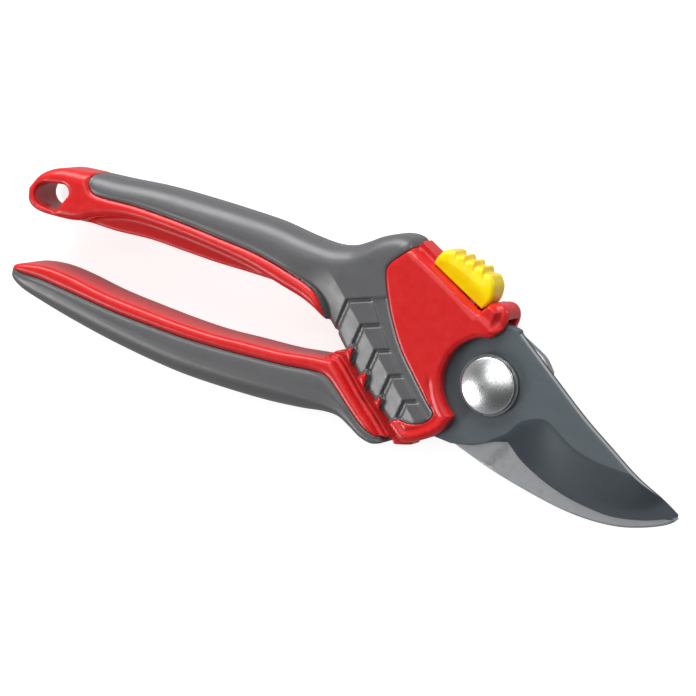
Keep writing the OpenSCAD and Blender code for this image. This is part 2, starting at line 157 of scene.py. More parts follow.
UPPER_OUTLINE = outline(
    curve([(-152.4, -1.5, 2.6), (-151.1, -5.2, 2.6), (-147.5, -6.8, 2.6), (-141, -6.2, 2.6),
           (-134, -4.6, 2.6), (-128, -1, 2.4), (-119, 2.2, 2.4), (-105, 3.6, 2.4), (-91, 4, 2.4),
           (-79, 3.7, 2.4), (-68, 2.3, 2.4), (-59, 1, 2.4), (-51.5, -2, 2.4), (-43.5, -7.9, 2.2),
           (-35.5, -14.4, 2.2), (-27.5, -19.3, 2.2), (-21.5, -23, 2.2)]),
    curve([(-21.5, -23, 2.2), (-18, -24.6, 2), (-14.6, -23.3, 2), (-10.5, -20.2, 2), (-7.4, -16.5, 1.6)]),
    arc((0, 0), 13.5, 243, 105, 40, 1.5),
    curve([(-3.5, 13, 1.5), (-1.6, 15.8, 1.4), (-1.2, 18.8, 1.6), (-2.2, 21.3, 1.8), (-4.3, 22.4, 2),
           (-6.4, 21.6, 2), (-7.4, 19.2, 1.8), (-9.8, 17.4, 1.8)]),
    [(-9.8, 17.4, 1.8), (-17.7, 20.9, 1.8), (-25.6, 24, 1.8)],
    curve([(-31, 25.9, 1.8), (-33.8, 27.4, 2.5), (-36, 29.4, 4), (-40, 29, 5), (-44.5, 26.5, 5.5),
           (-48.5, 23.2, 5.5), (-52.5, 20.4, 5.5), (-58, 18.4, 5.5), (-66, 17.9, 5.5), (-77, 18, 5.5),
           (-90, 16.9, 5.5), (-102, 15.6, 5.5), (-114, 13.9, 5), (-126, 11.5, 5), (-137, 9.4, 4),
           (-145, 7.4, 3.2), (-150, 3.6, 2.6), (-152.4, -1.5, 2.6)]))

UPPER_GRIP_ZONE = outline(
    curve([(-131, 20), (-134, 11), (-134.6, 7.6), (-132.4, 4.9), (-128, 4.8), (-118, 6.3), (-104, 7.3),
           (-90, 7.7), (-78, 7.9), (-67, 6.8), (-57, 4.4), (-51.5, -2)]),
    [(-56, -12), (-30, -34)],
    curve([(-23.4, -21.4), (-21, -19.2), (-17.5, -18.9), (-13.5, -17), (-11.6, -13.6), (-15, -10.6),
           (-20.4, -6), (-26.5, -0.6), (-31.6, 5.6), (-35.6, 11.8), (-38.6, 18), (-38.4, 21), (-36.4, 24),
           (-34.2, 27)]),
    [(-34.2, 27), (-32.5, 31), (-30, 36), (-100, 40)])

UPPER_WEB = outline(
    [(-70, 4), (-75, 5), (-128, 4.2), (-136, 1)],
    curve([(-134.5, -4.8), (-124, -3.9), (-112, -1.9), (-100, -1), (-90, -0.2), (-80, 1), (-70, 2)]))

HEAD_SLOT = outline(
    [(-56, -60), (30, -60), (30, 40), (-0.2, 40), (-0.2, 18.9)],
    curve([(-8.4, 18.9), (-16, 18), (-26, 18), (-35, 14.5), (-41, 6), (-47, -2.5), (-52.5, -8)]),
    [(-56, -16)])

HANGING_HOLE = outline(arc((-146, -1.3), 3.6, 105, 270, 16), arc((-143, -2.9), 2, 270, 350, 8),
                       arc((-141.6, 1.2), 2.4, 0, 105, 10))

LOWER_OUTLINE = outline(
    curve([(-149.6, -26, 2), (-148.6, -28.6, 2.4), (-144.6, -30.6, 3.2), (-137, -31.9, 4), (-127, -33.2, 5),
           (-114, -34.2, 5.5), (-100, -34.5, 5.5), (-88, -34.2, 5.5), (-75, -32.9, 5.5), (-62, -31.1, 5.5),
           (-51, -28.7, 4.5), (-43.5, -26.5, 3), (-38.7, -26, 2.4), (-34.6, -27.2, 2), (-30.5, -28.7, 1.6),
           (-26.5, -29, 1.2), (-23.4, -27.6, 1)]),
    curve([(-23.4, -27.6, 1), (-28.4, -23.8, 1.4), (-36, -18.6, 1.6), (-42, -13.9, 1.6),
           (-45.4, -11.6, 1.5)]),
    curve([(-45.4, -11.6, 1.5), (-52, -12.9, 1.6), (-61, -15.1, 1.7), (-73, -17.1, 1.7), (-83, -18.8, 1.7),
           (-94, -19.9, 1.7), (-107, -20.6, 1.7), (-119, -21, 1.7), (-130, -20.6, 1.7), (-138, -20.9, 1.7),
           (-144.5, -22.3, 1.8), (-148.6, -24.2, 2), (-149.6, -26, 2)]))

LOWER_GRIP_ZONE = outline(
    curve([(-152, -25.6), (-145, -25.6), (-139, -25), (-129, -24.9), (-113, -24.8), (-100, -24),
           (-90, -23.2), (-80, -21.9), (-70, -20.3), (-59, -18.4), (-51, -16.6), (-45.6, -16.2),
           (-41, -18.6), (-36, -22), (-30, -25.4), (-25, -26.3), (-22, -25.6)]),
    [(-10, -40), (-100, -60), (-160, -40)])

NECK_R = 31                                 # Inner end of the neck, round the pivot
NECK_OUTLINE = outline(
    [(-52, -15)],
    curve([(-46.5, -9.2), (-41, -6.8), (-36, -6.6), (-30.3, -6.6)]),
    arc((0, 0), NECK_R, 192, 228, 20),
    curve([(-20, -23.4), (-16.5, -22.7), (-13.2, -21.4), (-11.9, -21.3)]),
    curve([(-11.9, -21.3), (-12.5, -22.5), (-15.6, -24.9), (-18.6, -26.3), (-22, -27.4), (-26, -28),
           (-30, -26.5)]),
    [(-36, -22)])

BLADE_SPINE = curve([(62.4, -12.6), (57, -10.4), (48, -7.5), (38.5, -3.1), (28.5, 1.7), (17.5, 7.9),
                     (7.5, 13.7), (2.6, 16.6)], 8)
BLADE_EDGE = curve([(10.3, -13.1), (15.5, -16.9), (22, -19.4), (30, -21), (38, -21.4), (45.5, -20.8),
                    (53, -18.5), (58.6, -15.8), (62.6, -13.4)], 8)
BLADE_OUTLINE = outline(
    BLADE_SPINE,
    arc((0, 0), 17.4, 82, 196, 60),
    curve([(-16.7, -4.8), (-24, -6.6), (-32, -7.6), (-40, -10.4), (-50, -15), (-62, -17.8), (-76, -20.4)]),
    [(-76, -20.4), (-77.5, -23.5), (-76, -26.4), (-60, -24.6), (-46, -21.8), (-36, -21.2), (-24, -21.6),
     (-10.6, -20.2)],
    curve([(-5.2, -20), (1, -18), (6, -14.8), (10.3, -13.1)]),
    BLADE_EDGE,
    [(62.6, -13.4)])

# The flat of the blade: what lies beyond it is ground down towards the cutting edge
GRIND_LINE = curve([(3.5, -18), (5.2, -14.6), (8.9, -11.1), (11, -7.5), (12.8, -5.5), (15.8, -3.5),
                    (19, -2.9), (23.9, -4.8), (28.4, -6.7), (35.4, -7.7), (42.9, -7.4),
                    (48, -6.9), (52, -6)], 8)
BLADE_FLAT = outline(GRIND_LINE, [(52, -6), (52, 20), (-90, 40), (-90, -40), (2, -40)])

HOOK_OUTLINE = outline(
    [(-29, 17.2), (-36, 12.6), (-37.6, 8), (-33, 3.6)],
    curve([(-28, 1), (-20, -4), (-15.5, -10), (-12.5, -15.5), (-7, -20.2)]),
    curve([(-7, -20.2), (1, -21.8), (9, -23.3), (20, -24.5), (31, -25.1), (40, -24.5), (48, -22.8),
           (55, -19.9), (60.5, -16.6), (62.3, -14.2)], 8),
    curve([(62.3, -14.2), (56, -15.8), (48, -17.6), (40, -18.2), (31, -17.3), (24, -14.6), (18.6, -9.6),
           (16.2, -3), (15.9, 4), (14.2, 9.2)], 8),
    curve([(14.2, 9.2), (11, 12.1), (6.6, 13.9), (0.4, 16), (-3.4, 17.2)], 8),
    [(-3.4, 17.2), (-6.8, 16.6), (-14, 17.6)])
HOOK_FOLD = ((9.6, -14.5), (7.4, -19))      # Where the jaw is ground thinner than the shank

HORN_HEEL = outline([(-16, 12), (-4, 12), (-3.6, 20.6), (-6, 21.6), (-7.7, 21.4), (-8.4, 20), (-9.6, 18.3),
                     (-14, 19.4)])

SLIDER_RIDGES = [(-22.6, 30.6), (-19.5, 30.4), (-16.4, 30), (-13.3, 29.4)]
SLIDER_FALL = 0.35                          # How far its faces fall off towards the outline
RIDGE_LEAN = 0.25                           # How far a ridge leans, along for height
RIDGE_LENGTH = 2.6                          # Of the slope from each ridge to the next
RIDGE_FALL = 0.25                           # How far the ridges still show on the faces
SLIDER_OUTLINE = outline(
    curve([(-27.5, 25.4, 0.6), (-27.5, 27.4, 1.6), (-26.4, 29.4, 1.6), (-24.6, 30.5, 1.4),
           (-22.9, 30.75, 1.2), (-19.8, 30.6, 1.2), (-16.7, 30.2, 1.2), (-13.6, 29.6, 1.2),
           (-11, 28.6, 1.2), (-9.4, 27.2, 1.2), (-8.4, 25.4, 1.2), (-8.1, 22.8, 1.2), (-8.7, 20.5, 1),
           (-9.9, 18.7, 0.5)]),
    [(-9.9, 18.7, 0.5), (-27.2, 25.1, 0.5)])


# --- Fields of signed distances ------------------------------------------------------------------

class Block:
    """The grid of one moulding: x and y are maps of the plan, z is the column of levels."""

    def __init__(self, low, high, step):
        axes = [np.arange(a - 2 * step, b + 3 * step, step) for a, b in zip(low, high)]
        self.step = step
        self.low = [axis[0] for axis in axes]
        self.x, self.y = np.meshgrid(axes[0], axes[1], indexing="ij")
        self.z = axes[2]


def segment_distance(x, y, a, b):
    """Squared distance from each point to a segment, and how far along it the nearest point is."""
    ex, ey = b[0] - a[0], b[1] - a[1]
    length = ex * ex + ey * ey
    t = np.clip(((x - a[0]) * ex + (y - a[1]) * ey) / length, 0, 1) if length > 1e-9 else np.zeros_like(x)
    return (x - a[0] - t * ex) ** 2 + (y - a[1] - t * ey) ** 2, t


def line_distance(x, y, points):
    """Distance to an open line through the points."""
    return np.sqrt(np.min([segment_distance(x, y, a, b)[0] for a, b in zip(points, points[1:])], axis=0))


def plan(x, y, points):
    """Signed distance to a closed outline, and the edge radius of its nearest point."""
    best = np.full(x.shape, 1e9)
    edge = np.zeros(x.shape)
    inside = np.zeros(x.shape, bool)
    for a, b in zip(points, np.roll(points, -1, axis=0)):
        distance, t = segment_distance(x, y, a, b)
        nearer = distance < best
        best[nearer] = distance[nearer]
        if len(a) > 2:
            edge[nearer] = (a[2] + (b[2] - a[2]) * t)[nearer]
        if a[1] != b[1]:
            crosses = ((a[1] > y) != (b[1] > y)) & (x < a[0] + (y - a[1]) * (b[0] - a[0]) / (b[1] - a[1]))
            inside ^= crosses
    return np.where(inside, -1, 1) * np.sqrt(best), edge


def plate_field(flat, z, low, high, edge):
    """A plate over the plan flat between two levels, its edges rounded; levels and edge may be maps."""
    low, high, edge = (np.broadcast_to(value, flat.shape)[..., None] for value in (low, high, edge))
    across = flat[..., None] + edge
    level = np.maximum(low - z, z - high) + edge
    return (np.minimum(np.maximum(across, level), 0)
            + np.hypot(np.maximum(across, 0), np.maximum(level, 0)) - edge)


def join(a, b, fillet):
    """Union of two fields with a fillet between them."""
    h = np.clip(0.5 + 0.5 * (b - a) / fillet, 0, 1)
    return b + (a - b) * h - fillet * h * (1 - h)


def cut(a, b, rounding=0.3):
    """Field a without field b, with a rounded rim."""
    return -join(-a, b, rounding)


def slide_axes(block):
    """Along the slide of the lock, and above the pivot, square to the slide."""
    c, s = math.cos(SLIDE_ANGLE), math.sin(SLIDE_ANGLE)
    return block.x * c - block.y * s, block.x * s + block.y * c


def slide_plan(block, along_low, along_high, above_low, above_high):
    """Signed distance to a rectangle that is square to the slide of the lock."""
    along, above = slide_axes(block)
    return np.maximum(np.maximum(along_low - along, along - along_high),
                      np.maximum(above_low - above, above - above_high))


# --- Meshes ------------------------------------------------------------------------------------

def add_mesh(name, vertices, faces, smooth_angle=None):
    """An object from vertices in millimetres, its edges sharp where they bend past smooth_angle."""
    mesh = bpy.data.meshes.new(name)
    mesh.from_pydata(np.asarray(vertices) * MM, [], faces)
    mesh.validate()
    mesh.shade_smooth()
    if smooth_angle is not None:
        mesh.set_sharp_from_angle(angle=math.radians(smooth_angle))
    obj = bpy.data.objects.new(name, mesh)
    bpy.context.collection.objects.link(obj)
    return obj


def mesh_field(name, field, block):
    """The surface where a field is zero, as a mesh."""
    grid = openvdb.FloatGrid(background=3.0)
    grid.copyFromArray(np.ascontiguousarray(field, np.float32))
    points, quads = grid.convertToQuads(isovalue=0.0)
    points = np.asarray(points, float) * block.step + np.array(block.low)
    a, b, c, d = (points[quads[:, k]] for k in range(4))
    if np.einsum("ij,ij->i", a + c, np.cross(b - a, d - a)).sum() < 0:
        quads = quads[:, ::-1]
    return add_mesh(name, points, quads.tolist())


def place(obj, body, slot, material, *nodes):
    """Gives a piece its material, hangs it on the body it rides on and hides the CAD nodes it stands for;
    slot is not used.
    """
    obj.data.materials.append(material)
    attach(obj, body)
    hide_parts(*nodes)
    return obj


# --- Handles -----------------------------------------------------------------------------------

# The strip of pads below the thumb: along it towards the bottom of the head, and across it
PAD_ALONG = (0.793, -0.609)
PAD_CREST = -23.3                           # Where across the strip the chevrons have their peaks
PAD_FIRST = -41.3                           # The first peak along the strip
PAD_PITCH = 8.2
PAD_COUNT = 5
PAD_SPREAD = 0.52                           # How fast the legs of a chevron fall behind
PAD_TILT = 0.3                              # Slope of the facets towards the inner edge
PAD_GROOVE = 0.85                           # Depth of the grooves between the pads
PAD_BAND = 0.5                              # Depth of the band beside them
# Where the pads end, across the strip, for places along it
PAD_RIGHT = ((-38, -31.5, -23.2, -14.8, -6.8), (-16.7, -18.15, -19.5, -20.2, -19.95))
NOTCH_TIP = -29.4                           # Where the red notches at the inner edge end, across the strip
NOTCH_HALF = 0.5                            # Half their width at that tip
NOTCH_FLARE = 0.45                          # How fast they widen towards the edge


def strip(x, y):
    """Along and across the strip of pads."""
    return PAD_ALONG[0] * x + PAD_ALONG[1] * y, -PAD_ALONG[1] * x + PAD_ALONG[0] * y


def pad_relief(x, y):
    """How far the faces of the pads, their grooves and the band beside them lie below the face."""
    along, across = strip(x, y)
    off_crest = across - PAD_CREST
    right = np.interp(along, *PAD_RIGHT)
    started = smoothstep(PAD_FIRST - 0.6, PAD_FIRST + 0.8, along - PAD_SPREAD * np.abs(off_crest))
    facet = PAD_TILT * np.maximum(-off_crest - 0.3, 0) * smoothstep(-60, -42, along)
    groove = np.zeros(x.shape)
    for k in range(PAD_COUNT):
        behind = along - PAD_SPREAD * np.abs(off_crest) - PAD_FIRST - PAD_PITCH * k
        width = np.where(off_crest < 0, 1.5, 0.9)
        step = smoothstep(-0.3, 0.15, behind) * smoothstep(width + 0.35, width - 0.2, behind)
        groove = np.maximum(groove, step)
    in_pads = smoothstep(0.15, -0.35, across - right)
    band = PAD_BAND * smoothstep(-0.25, 0.3, across - right) * started
    return facet + PAD_GROOVE * groove * in_pads + band


def crowned(flat, rise, width):
    """How far a crowned face lies below its highest level, from the distance inside its outline."""
    return rise * (1 - smoothstep(0, width, -flat)) ** 1.5


def hanging_hole(b):
    """The hole through the tail, whose outer wall leans away behind."""
    hole = np.full((*b.x.shape, len(b.z)), OUTSIDE)
    tail = slice(0, int(np.searchsorted(b.x[:, 0], TAIL_END)))
    for k, z in enumerate(b.z):
        lean = HOLE_LEAN * (FRONT - z) / (FRONT - BACK)
        hole[tail, :, k] = np.minimum(plan(b.x[tail], b.y[tail], HANGING_HOLE)[0],
                                      plan(b.x[tail] - lean, b.y[tail] - 0.2 * lean, HANGING_HOLE)[0])
    return hole


def upper_handle():
    """The red core and the grey grip of the upper handle and head."""
    b = Block((-153, -25.5, BACK), (-0.5, 30.5, FRONT), HANDLE_STEP)
    flat, edge = plan(b.x, b.y, UPPER_OUTLINE)
    zone, _ = plan(b.x, b.y, UPPER_GRIP_ZONE)
    along, across = strip(b.x, b.y)
    for k in range(1, PAD_COUNT - 1):
        middle = PAD_FIRST + PAD_PITCH * k + PAD_SPREAD * (PAD_CREST - across) + 1
        taper = NOTCH_HALF + NOTCH_FLARE * (NOTCH_TIP - across)
        notch = np.minimum(taper - np.abs(along - middle), NOTCH_TIP - across)
        zone = np.maximum(zone, np.minimum(notch, 1.5))

    head = smoothstep(-52, -44, b.x)
    in_grip = smoothstep(0.1, 0.7, -zone)
    above = slide_axes(b)[1]
    seam = (SEAM - 0.5 * head) * np.exp(-(zone / (SEAM - 0.3 * head)) ** 2)
    bead = BEAD_GROOVE * np.exp(-((flat + BEAD_INSET) / BEAD_WIDTH) ** 2)
    bead = bead * smoothstep(-3, -7, b.y) * smoothstep(-24, -19, b.x)
    horn = HORN_DROP * smoothstep(12.4, 15.4, above) * smoothstep(-11.5, -8.6, b.x)
    crown = crowned(flat, CROWN_RISE, CROWN_WIDTH) * (1 - head) * in_grip
    relief = seam + horn + crown + bead * (1 - in_grip) + pad_relief(b.x, b.y) * in_grip

    whole = plate_field(flat, b.z, BACK + relief, FRONT - relief, edge)
    web, _ = plan(b.x, b.y, UPPER_WEB)
    web = plate_field(web, b.z, MIDDLE - RAIL_HALF, MIDDLE + RAIL_HALF, 0.9)
    off_middle = np.abs(b.z - MIDDLE)
    ledge = slide_plan(b, -40, -14.6, 8, LEDGE_TOP)[..., None]
    ledge = ledge + LEDGE_FALL * np.maximum(off_middle - LEDGE_FLAT, 0)
    heel = plan(b.x, b.y, HORN_HEEL)[0][..., None] + HEEL_FALL * np.maximum(off_middle - HEEL_FLAT, 0)
    ledge = np.maximum(np.minimum(ledge, heel), off_middle - LEDGE_HALF)
    window = slide_plan(b, -25, -18.2, 8, 22)
    window = plate_field(window, b.z, BLADE_LOW + 0.05, BLADE_HIGH - 0.1, 0.0)
    rail = slide_plan(b, -42, -25, 11.5, RAIL_TOP)
    rail = plate_field(rail, b.z, MIDDLE - RAIL_HALF, MIDDLE + RAIL_HALF, 0.4)
    slot, _ = plan(b.x, b.y, HEAD_SLOT)
    slot = plate_field(slot, b.z, HOOK_LOW, BLADE_HIGH + SLOT_CLEARANCE, 0.0)
    hole = hanging_hole(b)

    outside_zone = -zone[..., None]
    core = join(join(join(whole, web, 1.6), ledge, 0.8), rail, 0.5)
    core = np.minimum(np.maximum(core, outside_zone + SHOT_GAP), whole + CORE_COVER)
    core = cut(cut(core, np.minimum(slot, window)), hole, 1.5)
    grip = cut(np.maximum(whole, SHOT_GAP - outside_zone), slot)
    return mesh_field("upper_handle_moulding", core, b), mesh_field("upper_grip_moulding", grip, b)


def lower_handle():
    """The red core with its neck, and the grey grip of the lower handle."""
    b = Block((-150, -35, BACK), (-17, -6, FRONT), HANDLE_STEP)
    flat, edge = plan(b.x, b.y, LOWER_OUTLINE)
    zone, _ = plan(b.x, b.y, LOWER_GRIP_ZONE)
    neck, _ = plan(b.x, b.y, NECK_OUTLINE)
    blade, _ = plan(b.x, b.y, BLADE_OUTLINE)
    in_grip = smoothstep(0.1, 0.7, -zone)
    near_neck = smoothstep(-50, -44, b.x)
    seam = (SEAM - 0.3 * near_neck) * np.exp(-(zone / SEAM) ** 2)
    crown = crowned(flat, CROWN_RISE, CROWN_WIDTH) * in_grip
    relief = seam + crown
    whole = plate_field(flat, b.z, BACK + relief, FRONT - relief, edge)
    ledge = plate_field(np.maximum(flat - 1.3, -47 - b.x), b.z, BACK + 3, FRONT - 3.1, 0.7)
    inner = plate_field(neck, b.z, HOOK_LOW + SLOT_CLEARANCE, BLADE_HIGH, 0.4)
    body = join(join(whole, ledge, 0.6), inner, 0.5)
    outside_zone = -zone[..., None]
    core = np.minimum(np.maximum(body, outside_zone + SHOT_GAP), whole + CORE_COVER)
    tang = plate_field(blade, b.z, BLADE_LOW, BLADE_HIGH - TANG_COVER, 0.0)
    core = np.maximum(core, -tang)
    grip = np.maximum(whole, SHOT_GAP - outside_zone)
    return mesh_field("lower_handle_moulding", core, b), mesh_field("lower_grip_moulding", grip, b)


def thumb_slider():
    """The slider of the thumb lock, with ridges across its top."""
    b = Block((-28, 18, SLIDER_LOW), (-8, 31, SLIDER_HIGH), SLIDER_STEP)
    flat, edge = plan(b.x, b.y, SLIDER_OUTLINE)
    on_top = smoothstep(16.5, 18.5, slide_axes(b)[1])
    fall = SLIDER_FALL * smoothstep(-6, 0, flat)
    for x, y in SLIDER_RIDGES:
        past = (b.x - x) + RIDGE_LEAN * (b.y - y)
        saw = smoothstep(-0.25, 0.15, past) * smoothstep(RIDGE_LENGTH, 0.2, past) * on_top
        flat = flat + saw
        fall = fall + RIDGE_FALL * saw * smoothstep(-2.5, 0, flat)
    whole = plate_field(flat, b.z, SLIDER_LOW + fall, SLIDER_HIGH - fall, edge)
    rail = slide_plan(b, -44, -18.6, 5, RAIL_TOP + RAIL_GAP + 0.9)
    rail = plate_field(rail, b.z, MIDDLE - RAIL_HALF - RAIL_GAP, MIDDLE + RAIL_HALF + RAIL_GAP, 0.0)
    return mesh_field("thumb_slider_moulding", cut(whole, rail), b)


# --- Blades and bolt ------------------------------------------------------------------------------

def offset_outline(points, inset):
    """The outline moved inwards; it runs anticlockwise."""
    p = np.asarray(points)[:, :2]
    along = np.roll(p, -1, axis=0) - np.roll(p, 1, axis=0)
    along /= np.linalg.norm(along, axis=1)[:, None]
    return p + inset * np.column_stack([-along[:, 1], along[:, 0]])


def circle(radius, count):
    """Points round the pivot axis."""
    angles = np.arange(count) * 2 * math.pi / count
    return np.column_stack([radius * np.cos(angles), radius * np.sin(angles)])


def plate_mesh(name, points, hole, lines, top, bottom, spacing=1.1, smooth_angle=28):
    """A plate over an outline with one round hole; top and bottom give the height at x and y."""
    p = np.asarray(points)[:, :2]
    keep = np.linalg.norm(np.roll(p, -1, axis=0) - p, axis=1) > 0.02
    p = p[keep]
    coordinates, edges = [], []
    for loop in (p, circle(hole, 64)):
        start = len(coordinates)
        coordinates.extend(loop.tolist())
        edges.extend((start + i, start + (i + 1) % len(loop)) for i in range(len(loop)))
    for line in lines:
        start = len(coordinates)
        coordinates.extend(np.asarray(line)[:, :2].tolist())
        edges.extend((start + i, start + i + 1) for i in range(len(line) - 1))
    x, y = (values.ravel() for values in np.meshgrid(np.arange(p[:, 0].min(), p[:, 0].max(), spacing),
                                                     np.arange(p[:, 1].min(), p[:, 1].max(), spacing)))
    inner = (plan(x, y, p)[0] < -0.6) & (np.hypot(x, y) > hole + 0.6)
    coordinates.extend(np.column_stack([x[inner], y[inner]]).tolist())
    flat, _, triangles = delaunay_2d_cdt([Vector(q) for q in coordinates], edges, [], 0, 1e-4)[:3]
    flat = np.array([tuple(q) for q in flat])
    triangles = np.array(triangles)
    centre = flat[triangles].mean(axis=1)
    outside_bore = np.hypot(centre[:, 0], centre[:, 1]) > hole * 0.998
    triangles = triangles[(plan(centre[:, 0], centre[:, 1], p)[0] < 0) & outside_bore]
    a, b, c = (flat[triangles[:, k]] for k in range(3))
    clockwise = (b[:, 0] - a[:, 0]) * (c[:, 1] - a[:, 1]) < (b[:, 1] - a[:, 1]) * (c[:, 0] - a[:, 0])
    triangles[clockwise] = triangles[clockwise][:, ::-1]
    upper = np.column_stack([flat, top(flat[:, 0], flat[:, 1])])
    lower = np.column_stack([flat, bottom(flat[:, 0], flat[:, 1])])
    count = len(flat)
    sides = {(i, j) for t in triangles.tolist() for i, j in ((t[0], t[1]), (t[1], t[2]), (t[2], t[0]))}
    walls = [(i, i + count, j + count, j) for i, j in sorted(sides) if (j, i) not in sides]
    faces = triangles.tolist() + (triangles[:, ::-1] + count).tolist() + walls
    return add_mesh(name, np.vstack([upper, lower]), faces, smooth_angle)


def soft_distance(x, y, points):
    """Like line_distance, but without creases where two stretches of the line are equally near."""
    total = np.full(x.shape, 1e-9)
    for (ax, ay), (bx, by) in zip(points, points[1:]):
        length = math.hypot(bx - ax, by - ay)
        ex, ey = (bx - ax) / length, (by - ay) / length
        start = (ax - x) * ex + (ay - y) * ey
        height2 = ((x - ax) * ey - (y - ay) * ex) ** 2 + 1e-6
        end = start + length
        total += (end / np.sqrt(height2 + end ** 2) - start / np.sqrt(height2 + start ** 2)) / height2
    return np.sqrt(2 / total)


def broken_edge(x, y, points, width, slope):
    """How far the rim of a plate is broken within a width of its outline."""
    return slope * np.maximum(width + plan(x, y, points)[0], 0)


def blade_top(x, y):
    """Height of the front of the cutting blade."""
    beyond = np.where(plan(x, y, BLADE_FLAT)[0] > 0, soft_distance(x, y, GRIND_LINE), 0)
    ground = GRIND_SLOPE * np.where(beyond < GRIND_START, beyond ** 2 / (2 * GRIND_START),
                                    beyond - GRIND_START / 2)
    rim = broken_edge(x, y, BLADE_OUTLINE, BLADE_RIM, 0.5)
    in_neck = (x < 0) * smoothstep(NECK_R - 0.9, NECK_R - 0.2, np.hypot(x, y))
    return np.maximum(BLADE_HIGH - ground - rim - TANG_COVER * in_neck, BLADE_LOW + EDGE_LEFT)


def cutting_blade():
    """The blade with its tang, whose mesh has lines along the bevel and the broken edge."""
    rim_line = offset_outline(BLADE_OUTLINE, BLADE_RIM)[::2]
    return plate_mesh("cutting_blade_plate", BLADE_OUTLINE, BLADE_BORE, [GRIND_LINE, rim_line], blade_top,
                      lambda x, y: np.full(x.shape, BLADE_LOW))


def hook_top(x, y):
    """Height of the front of the counter blade, which is ground thinner beyond the fold."""
    (ax, ay), (bx, by) = HOOK_FOLD
    beyond = ((x - ax) * (ay - by) + (y - ay) * (bx - ax)) / math.hypot(ax - bx, ay - by)
    rim = broken_edge(x, y, HOOK_OUTLINE, HOOK_RIM, 0.6)
    return HOOK_HIGH - FOLD_STEP * smoothstep(-0.2, 0.5, beyond) - rim


def hook_bottom(x, y):
    """Height of the back of the counter blade."""
    return HOOK_LOW + broken_edge(x, y, HOOK_OUTLINE, HOOK_BACK_RIM, 0.7)


def counter_blade():
    """The hooked blade behind it."""
    inner = offset_outline(HOOK_OUTLINE, HOOK_RIM)[::2]
    return plate_mesh("counter_blade_plate", HOOK_OUTLINE, HOOK_BORE, [inner], hook_top, hook_bottom)


def lathe(name, profile, segments=160):
    """A solid turned round the pivot axis from radius and height pairs, bottom to top."""
    rings = [[(r * math.cos(a), r * math.sin(a), z) for a in np.arange(segments) * 2 * math.pi / segments]
             for r, z in profile]
    vertices = [point for ring in rings for point in ring]
    faces = [(k * segments + i, k * segments + (i + 1) % segments, (k + 1) * segments + (i + 1) % segments,
              (k + 1) * segments + i) for k in range(len(profile) - 1) for i in range(segments)]
    faces.append(tuple(range(segments))[::-1])
    faces.append(tuple((len(profile) - 1) * segments + i for i in range(segments)))
    return add_mesh(name, vertices, faces, 35)


def pivot_bolt():
    """Shank and domed head, with a groove under the head and a small rounded rim round the dome."""
    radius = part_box("pivot_bolt")[1][0] / MM
    groove_r = radius - 0.9
    base = COLLAR_HIGH + 0.5
    bend = 0.45
    rim = [(radius - bend + bend * math.sin(t), base + bend - bend * math.cos(t))
           for t in np.linspace(0, 2.2, 10)]
    foot_r, foot_z = rim[-1]
    rise = BOLT_HIGH - foot_z
    dome_r = (foot_r ** 2 + rise ** 2) / (2 * rise)
    span = math.asin(foot_r / dome_r)
    dome = [(dome_r * math.sin(t), BOLT_HIGH - dome_r + dome_r * math.cos(t))
            for t in np.linspace(span, 0.01, 30)]
    shank = [(3.6, BOLT_LOW), (4, BOLT_LOW + 0.4), (4, COLLAR_HIGH), (groove_r, COLLAR_HIGH),
             (groove_r, base)]
    return lathe("pivot_bolt_turned", shank + rim + dome[1:])


# --- Materials -----------------------------------------------------------------------------------

